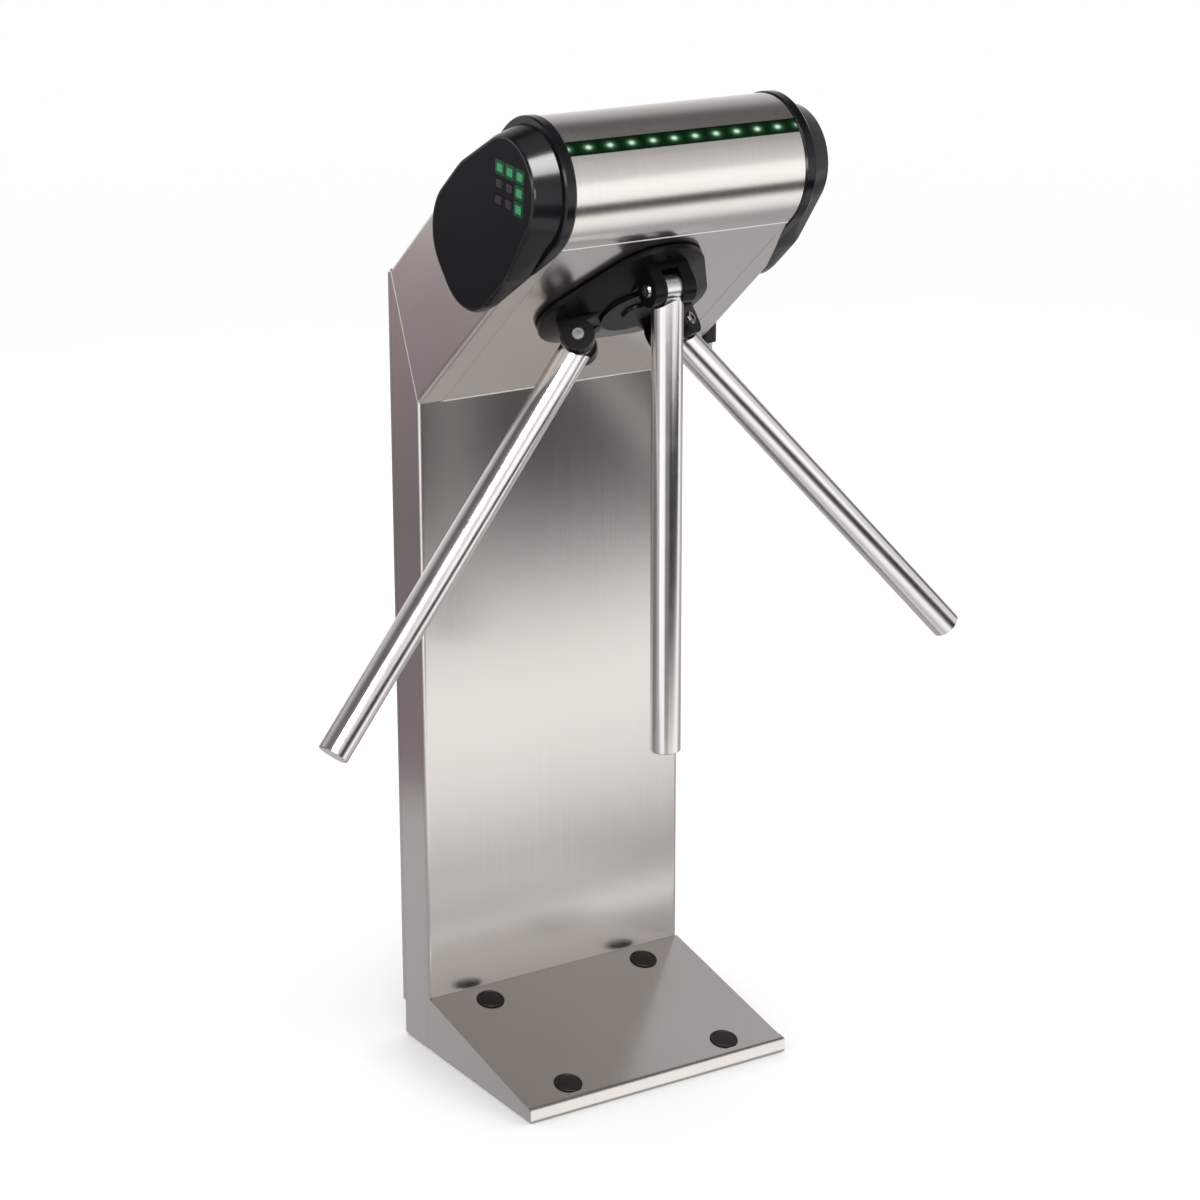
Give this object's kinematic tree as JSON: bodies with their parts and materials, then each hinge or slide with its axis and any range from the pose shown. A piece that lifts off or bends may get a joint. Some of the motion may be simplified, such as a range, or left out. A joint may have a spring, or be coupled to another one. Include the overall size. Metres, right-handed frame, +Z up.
{
  "type": "tripod turnstile",
  "caption": "Slim stainless tripod turnstile: leaning neck on a narrow column, black capped head with lamp strip, sloping anchored foot, middle arm dropped.",
  "frame": {"origin": "On the floor, midway between the four anchor holes of the foot.", "axes": "+Z is up; +Y points from the foot towards the column and its back; +X runs across the column, to the right for someone facing its front."},
  "size_m": [0.7776, 0.3228, 1.0511],
  "materials": {
    "brushed_steel": "fine vertical brushing, satin",
    "bright_steel": "polished stainless tube",
    "plated_steel": "bright plated machined steel",
    "structure_steel": "grey powder coat",
    "cast_aluminium": "as machined",
    "hub_black": "satin black coat",
    "black_plastic": "moulded, slight sheen",
    "black_gloss_plastic": "gloss moulded",
    "black_matte_plastic": "matt smoked face",
    "lamp_window": "smoked green strip",
    "lamp_green": "lit green",
    "circuit_board": "resist over laminate",
    "coil_winding": "lacquered wire under tape"
  },
  "bodies": {
    "frame": {"base_plate": "structure_steel", "foot_cover": "brushed_steel", "foot_plugs": "black_plastic", "column_shell": "brushed_steel", "rear_cover": "brushed_steel", "inner_frame": "structure_steel", "cheek_left": "brushed_steel", "cheek_right": "brushed_steel", "head_top_panel": "brushed_steel", "head_under_panel": "brushed_steel", "head_bulkheads": "structure_steel", "lamp_window": "lamp_window", "lamps": "lamp_green", "lamp_board": "circuit_board", "cap_left": "black_gloss_plastic", "cap_right": "black_gloss_plastic", "face_left": "black_matte_plastic", "face_right": "black_matte_plastic", "display_dots_left": "lamp_green", "display_dots_right": "lamp_green", "display_boards": "circuit_board", "lock_body": "black_plastic", "mechanism_plate": "structure_steel", "bearing_housing": "cast_aluminium", "bearings": "plated_steel", "standoffs": "plated_steel", "bridge_plate": "structure_steel", "damper": "black_plastic", "detent_lever": "plated_steel", "detent_roller": "plated_steel", "lock_pawls": "plated_steel", "lock_coils": "coil_winding", "control_board": "circuit_board", "board_spacers": "plated_steel"},
    "rotor": {"hub_casting": "hub_black", "hub_centre_cap": "hub_black", "hub_shaft": "plated_steel", "index_disc": "plated_steel", "encoder_disc": "cast_aluminium", "arm_pins": "plated_steel", "arm_left_root": "plated_steel", "arm_left_tube": "bright_steel", "arm_left_tip": "bright_steel", "arm_right_root": "plated_steel", "arm_right_tube": "bright_steel", "arm_right_tip": "bright_steel"},
    "drop_arm": {"arm_drop_root": "plated_steel", "arm_drop_tube": "bright_steel", "arm_drop_tip": "bright_steel"},
    "lock_turn": {"lock_barrel": "plated_steel"}
  },
  "joints": [
    {"name": "rotor_turn", "type": "hinge", "parent": "frame", "child": "rotor", "pos_m": [0, -0.02815, 0.87094], "axis": [0, -0.6428, -0.766], "continuous": true},
    {"name": "arm_drop", "type": "hinge", "parent": "rotor", "child": "drop_arm", "pos_m": [0, -0.11215, 0.87094], "axis": [-1, 0, 0], "range_deg": [-8, 90]},
    {"name": "release_lock", "type": "hinge", "parent": "frame", "child": "lock_turn", "pos_m": [0.17, 0.06667, 0.762], "axis": [0, 0, 1], "range_deg": [0, 90]}
  ]
}
